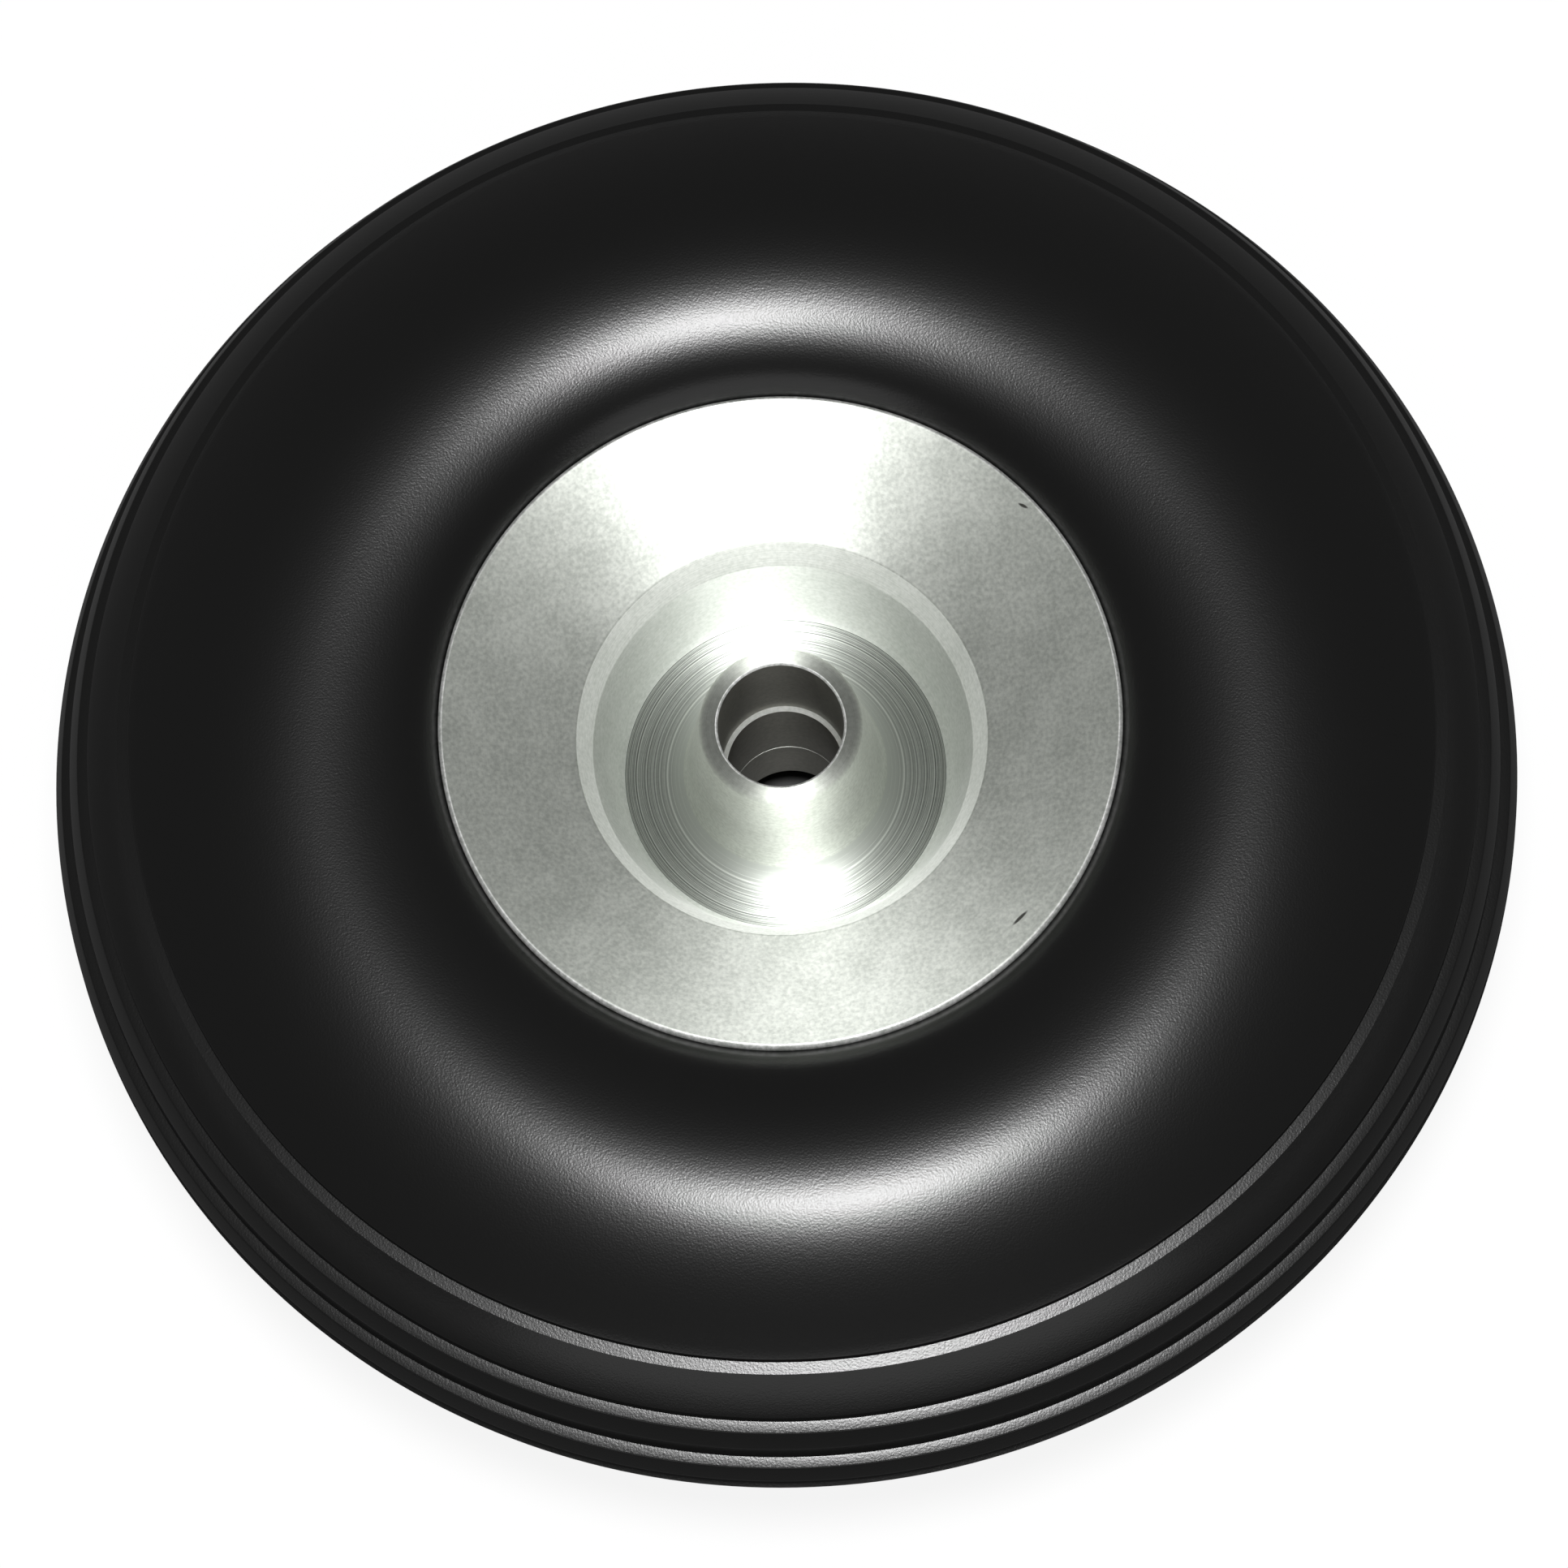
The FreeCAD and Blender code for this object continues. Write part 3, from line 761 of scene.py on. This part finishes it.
# %% [markdown]
# ### From tool marks to a metal
#
# The Principled shader takes one roughness and an anisotropy, from which it works out two: one across
# the grooves and one along them. Those two are easier to choose, so they are given here and turned
# back into the shader's. The colour could be one plain gray, but a tool never bites evenly, so it
# changes ring by ring and with a grain.

# %% Turned metal
GRAIN_PER_METRE = 4600
GRAIN_DETAIL = 3.0
PATCHES_PER_METRE = 420
PATCH_DETAIL = 1.0
GRAIN_SHARE, PATCH_SHARE = 0.72, 0.28
DARKEST_TONE, LIGHTEST_TONE = 0.36, 0.64
PLAIN_TONE = 0.62
FULL_ANISOTROPY = 0.9


def uneven_tone(tree, place, rings_share):
    """Ring marks by rings_share, and for the rest a fine grain with larger patches."""
    rings = ring_marks(tree, place)
    fine = noise_node(tree, place, GRAIN_PER_METRE, GRAIN_DETAIL)
    patches = noise_node(tree, place, PATCHES_PER_METRE, PATCH_DETAIL)
    grain = math_node(tree, "ADD", math_node(tree, "MULTIPLY", fine, GRAIN_SHARE),
                      math_node(tree, "MULTIPLY", patches, PATCH_SHARE))
    tone = math_node(tree, "ADD", math_node(tree, "MULTIPLY", rings, rings_share),
                     math_node(tree, "MULTIPLY", grain, 1 - rings_share))
    return spread(tree, tone, DARKEST_TONE, LIGHTEST_TONE, 0, 1)


def turned_metal(name, across, along, dark, light, rings_share, fades_in=None, scratched=False):
    """Aluminium with tool marks. Across and along are its roughnesses. The colour lies between dark
    and light. Where fades_in gives two radii, the contrast grows from the first one to the second."""
    material, tree, shader = new_material(name)
    shader.inputs["Metallic"].default_value = 1.0
    shader.inputs["Roughness"].default_value = (across * along) ** 0.25
    shader.inputs["Anisotropic"].default_value = (1 - along / across) / FULL_ANISOTROPY
    place = object_place(tree)
    set_input(tree, shader.inputs["Tangent"], across_grooves(tree, place))
    tone = uneven_tone(tree, place, rings_share)
    if fades_in:
        first, second = (radius * MM for radius in fades_in)
        plain = spread(tree, radius_of(tree, place), first, second, PLAIN_TONE, 0)
        tone = math_node(tree, "MAXIMUM", tone, plain)
    color = mix_colors(tree, tone, dark, light)
    if scratched:
        color = mix_colors(tree, scratch_marks(tree, place), color, SCRATCH_COLOR)
    set_input(tree, shader.inputs["Base Color"], color)
    return material

# %% [markdown]
# ### The hub's finishes
#
# The hub's faces weren't all cut alike. The flange was faced finely, the step was burnished by the
# tool's side, the cup's floor shows coarse rings, and the bores were reamed or drilled. One metal for
# all would lose that. So each finish names its two roughnesses, its darkest and its lightest colour,
# and how much of the change between them runs in rings. The reamed bores' dark colour is painted
# shade: it stands in for the shade deep inside the narrow bore.

# %% The hub's finishes
COARSE_STARTS, COARSE_IS_FULL = 5.8, 7.4
FACED_LOOK = {"across": 0.45, "along": 0.10, "dark": (0.62, 0.65, 0.60), "light": (0.89, 0.92, 0.86),
              "rings_share": 0.10}
FACED = turned_metal("faced aluminium", **FACED_LOOK, scratched=True)
UNMARKED = turned_metal("unmarked faced aluminium", **FACED_LOOK)
STEPPED = turned_metal("burnished step", 0.9, 0.22, (0.70, 0.73, 0.68), (0.92, 0.94, 0.90), 0.4)
WALL = turned_metal("cup wall aluminium", 0.8, 0.12, (0.76, 0.80, 0.74), (0.95, 0.98, 0.93), 0.3)
COARSE = turned_metal("coarsely turned aluminium", 0.55, 0.07, (0.20, 0.22, 0.20), (0.92, 0.95, 0.90), 0.92,
                      (COARSE_STARTS, COARSE_IS_FULL))
FLARED = turned_metal("flared boss aluminium", 0.75, 0.08, (0.60, 0.63, 0.57), (0.78, 0.81, 0.75), 0.3)
# Partly a painted highlight: the edges' near-white colour stands in for their glint, while their even
# roughness is the edges' own.
EDGE_WITH_PAINTED_GLINT = turned_metal("edge with painted glint", 0.50, 0.45, (0.62, 0.64, 0.61), (0.99, 0.99, 0.98), 0.0)
# Painted shade: the bores' dark colour stands in for the shade deep inside them, and the low roughnesses are
# the reaming.
SHADED_BORE_METAL = turned_metal("bore aluminium with painted shade", 0.20, 0.03, (0.34, 0.34, 0.30), (0.52, 0.51, 0.46), 0.4)
DRILLED = turned_metal("drilled shoulder", 0.60, 0.40, (0.80, 0.82, 0.77), (0.95, 0.96, 0.93), 0.2)

# %% [markdown]
# ### Which face gets which finish
#
# Faces could be picked by hand in edit mode, but the pick would be lost with every change of the mesh.
# A face of a turned piece is known by its radius and its height, so each finish comes with a test on
# those two. A face takes the first finish whose test holds, and the last test always holds.

# %% Finishes by radius and height
NEAR = 0.02
PAST_EDGE = 0.1
INSIDE = 1.0


def finish_hub(piece, tests):
    """Gives each face the first finish whose test holds for its radius and height."""
    for finish, test in tests:
        piece.data.materials.append(finish)
    for polygon in piece.data.polygons:
        radius = polygon.center.xy.length / MM
        height = polygon.center.z / MM
        for index, (finish, test) in enumerate(tests):
            if test(radius, height):
                polygon.material_index = index
                break
    print(piece.name, "has", len({finish.name for finish, test in tests}), "finishes")


def is_bore(r, z):
    return r < RELIEF + NEAR and z < BOSS_FACE - MOUTH_CHAMFER


def is_shoulder(r, z):
    return BORE + NEAR < r < RELIEF - NEAR and SPIGOT_END + INSIDE < z < BOSS_FACE - INSIDE


def is_rim_edge(r, z):
    return r > RIM_RADIUS - RIM_CHAMFER - NEAR and z > RIM_BACK


def is_bore_mouth(r, z):
    return r < RELIEF + 2 * MOUTH_CHAMFER and z > BOSS_FACE - INSIDE


finish_hub(outer_half, [
    (DRILLED, is_shoulder),
    (SHADED_BORE_METAL, is_bore),
    (EDGE_WITH_PAINTED_GLINT, is_rim_edge),
    (EDGE_WITH_PAINTED_GLINT, is_bore_mouth),
    (FACED, lambda r, z: r > DISH_EDGE[0] or z < CUP_FLOOR - PAST_EDGE),
    (STEPPED, lambda r, z: r > CUP_MOUTH[0] - PAST_EDGE / 2),
    (WALL, lambda r, z: r > CUP_RADIUS - PAST_EDGE),
    (COARSE, lambda r, z: r > BOSS_ROOT),
    (FLARED, lambda r, z: True),
])
finish_hub(inner_half, [
    (SHADED_BORE_METAL, lambda r, z: r < BORE + NEAR / 2),
    (UNMARKED, lambda r, z: True),
])

# %% [markdown]
# ### Blackened steel
#
# The screws are ordinary black cap screws. Their steel is blackened in a bath, which leaves it dark, a
# little rough and not quite even. A plain dark colour would do on parts this small, but a grain between
# two close shades keeps the heads from looking like plastic.

# %% Screw steel
STEEL_ROUGHNESS = 0.36
STEEL_DARK = (0.05, 0.05, 0.055)
STEEL_LIGHT = (0.11, 0.11, 0.115)
STEEL_TONES = (0.35, 0.65)


def black_steel():
    material, tree, shader = new_material("blackened steel")
    shader.inputs["Metallic"].default_value = 1.0
    shader.inputs["Roughness"].default_value = STEEL_ROUGHNESS
    grain = noise_node(tree, object_place(tree), GRAIN_PER_METRE, GRAIN_DETAIL)
    tone = spread(tree, grain, *STEEL_TONES, 0, 1)
    set_input(tree, shader.inputs["Base Color"], mix_colors(tree, tone, STEEL_DARK, STEEL_LIGHT))
    return material


for screw in screws:
    screw.data.materials.append(black_steel())

# %% [markdown]
# ## Floor
#
# The wheel lies on a pale floor that should look white. A white floor under the lamp would also show
# in the rubber's sides and turn them gray. So the floor is a dark matte paint that glows to the camera
# by the Light Path node. Mirrored rays see the same glow only some way off the wheel, so that the
# tyre's sides stay dark. It doesn't glow under the hub, or it would shine through the bore.

# %% Floor
FLOOR_SIZE = 8
FLOOR_COLOR = 0.14
FLOOR_GLOW = 0.88
FOOTPRINT = 0.02
GLOW_STARTS, GLOW_IS_FULL = 0.25, 1.0


def floor_material():
    """A dark matte paint that glows by FLOOR_GLOW where the camera or a far mirrored ray sees it."""
    material, tree, shader = new_material("pale floor")
    shader.inputs["Base Color"].default_value = (FLOOR_COLOR, FLOOR_COLOR, FLOOR_COLOR, 1)
    shader.inputs["Roughness"].default_value = 1.0
    shader.inputs["Specular IOR Level"].default_value = 0.0
    rays = tree.nodes.new("ShaderNodeLightPath").outputs
    distance = vector_node(tree, "LENGTH", object_place(tree))
    under_hub = math_node(tree, "LESS_THAN", distance, FOOTPRINT)
    away = spread(tree, distance, GLOW_STARTS, GLOW_IS_FULL, 0, 1)
    mirrored = math_node(tree, "MAXIMUM", rays["Is Glossy Ray"], rays["Is Transmission Ray"])
    seen = math_node(tree, "MAXIMUM", rays["Is Camera Ray"], math_node(tree, "MULTIPLY", mirrored, away))
    seen = math_node(tree, "SUBTRACT", seen, under_hub, clamp=True)
    shader.inputs["Emission Color"].default_value = (1, 1, 1, 1)
    set_input(tree, shader.inputs["Emission Strength"], math_node(tree, "MULTIPLY", seen, FLOOR_GLOW))
    return material


bpy.ops.object.select_all(action="DESELECT")
bpy.ops.mesh.primitive_plane_add(size=FLOOR_SIZE, location=(0, 0, -HALF_WIDTH * MM))
floor = bpy.context.object
floor.name = "floor"
floor.data.materials.append(floor_material())
print(f"floor of {FLOOR_SIZE} m at a height of {floor.location.z / MM:.1f} mm")

# %% [markdown]
# ## Light
#
# One round softbox hangs almost over the axle. It draws the two bright arcs on the crown and the fans
# on the hub. A larger one would be softer, but it would smear both. A pale card stands in front, for
# the rubber's front bands to mirror, and an even world keeps the shadows from going black. A lamp's
# watts say little about how bright its face looks, so the power is worked out from that: a face that
# sends out light evenly gives its brightness times pi times its area.

# %% Softbox and card
LAMP_TILT = math.radians(6.2)
LAMP_SIDE = math.radians(1.1)
LAMP_HALF_ANGLE = math.radians(6.8)
LAMP_DISTANCE = 1.5
LAMP_RADIUS = LAMP_DISTANCE * math.tan(LAMP_HALF_ANGLE)
LAMP_RADIANCE = 53.0
CARD_WIDTH, CARD_HEIGHT = 1.2, 0.5
CARD_DISTANCE = 0.8
CARD_RADIANCE = 0.7


def add_area_lamp(name, shape, width, height, area, radiance):
    """A lamp with a face of that size, in metres, and of that brightness."""
    data = bpy.data.lights.new(name, "AREA")
    data.shape = shape
    data.size, data.size_y = width, height
    data.energy = radiance * math.pi * area
    lamp = bpy.data.objects.new(name, data)
    bpy.context.scene.collection.objects.link(lamp)
    print(f"{name} of {data.energy:.1f} W")
    return lamp


softbox = add_area_lamp("overhead softbox", "DISK", 2 * LAMP_RADIUS, 2 * LAMP_RADIUS,
                        math.pi * LAMP_RADIUS**2, LAMP_RADIANCE)
towards = Vector((math.tan(LAMP_SIDE), -math.tan(LAMP_TILT), 1)).normalized()
softbox.location = towards * LAMP_DISTANCE
softbox.rotation_euler = towards.to_track_quat("Z", "Y").to_euler()

card = add_area_lamp("front card", "RECTANGLE", CARD_WIDTH, CARD_HEIGHT,
                     CARD_WIDTH * CARD_HEIGHT, CARD_RADIANCE)
card.location = (0, -CARD_DISTANCE, CARD_HEIGHT / 2)
card.rotation_euler = (math.radians(90), 0, 0)

# %% World and view
WORLD_LEVEL = 0.17
world = bpy.data.worlds.new("studio")
world.use_nodes = True
background = world.node_tree.nodes["Background"]
background.inputs["Color"].default_value = (1, 1, 1, 1)
background.inputs["Strength"].default_value = WORLD_LEVEL
bpy.context.scene.world = world
bpy.context.scene.view_settings.view_transform = "Standard"
print("world at a level of", WORLD_LEVEL)
